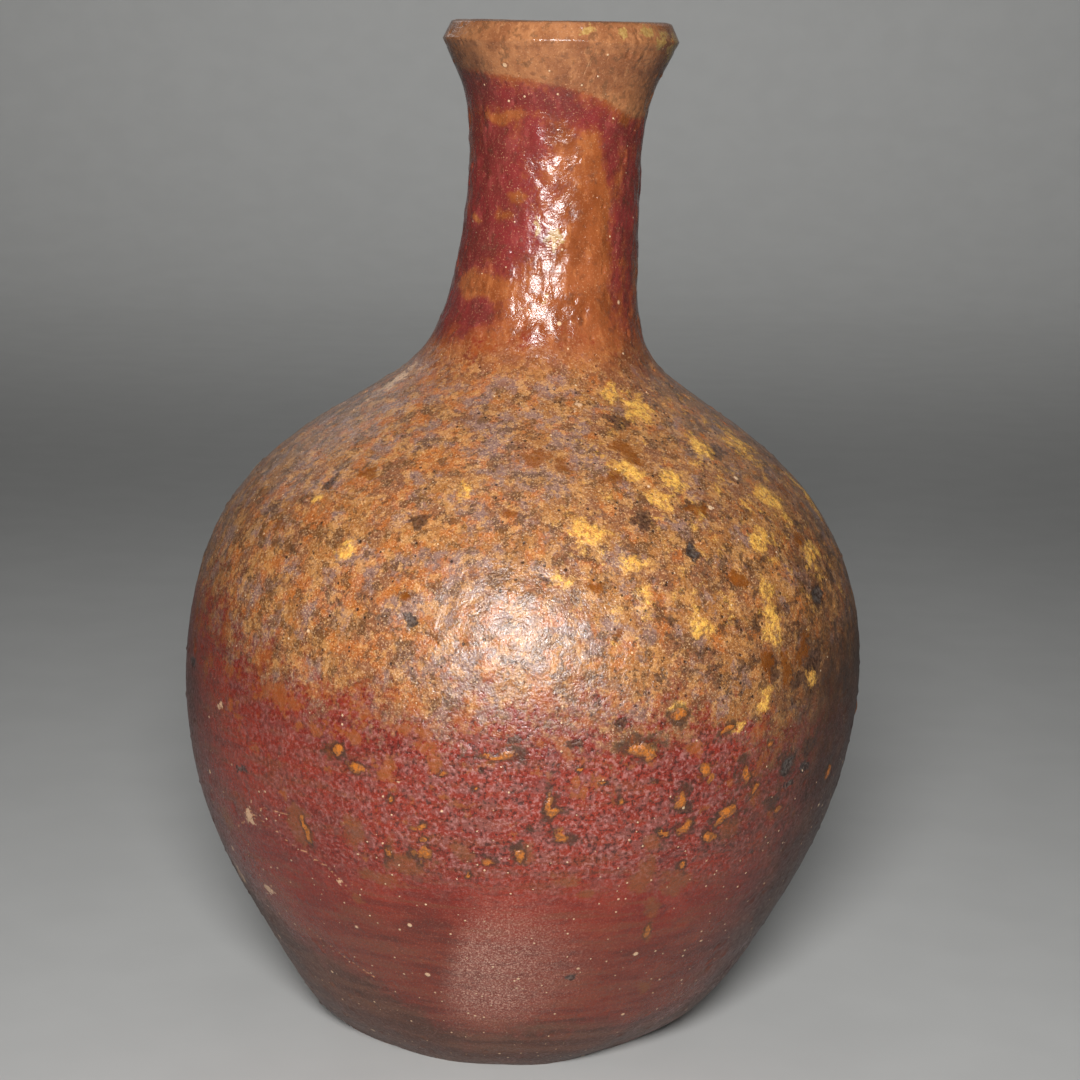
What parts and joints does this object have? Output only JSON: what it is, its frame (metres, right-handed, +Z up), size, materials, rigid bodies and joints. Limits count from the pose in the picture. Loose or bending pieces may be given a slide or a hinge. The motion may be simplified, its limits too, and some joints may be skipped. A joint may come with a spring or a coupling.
{
  "type": "sake bottle",
  "caption": "Round-bellied wood-fired stoneware sake bottle with a tall off-centre neck, turned-out lip and small flat foot.",
  "frame": {"origin": "on the ground, under the middle of the belly, which is the bottom centre of the bounding box", "axes": "+Z up, out of the mouth; +X towards the side that the neck leans to; -Y towards the viewer"},
  "size_m": [0.1688, 0.1688, 0.25],
  "materials": {
    "foot_clay": "matte",
    "heel_clay": "satin",
    "belly_clay": "satin",
    "upper_clay": "satin",
    "shoulder_clay": "satin",
    "neck_clay": "satin",
    "lip_clay": "satin"
  },
  "bodies": {
    "root": {"foot_slab": "foot_clay", "heel_course": "heel_clay", "belly_course": "belly_clay", "upper_course": "upper_clay", "shoulder_course": "shoulder_clay", "neck": "neck_clay", "lip": "lip_clay"}
  },
  "joints": []
}
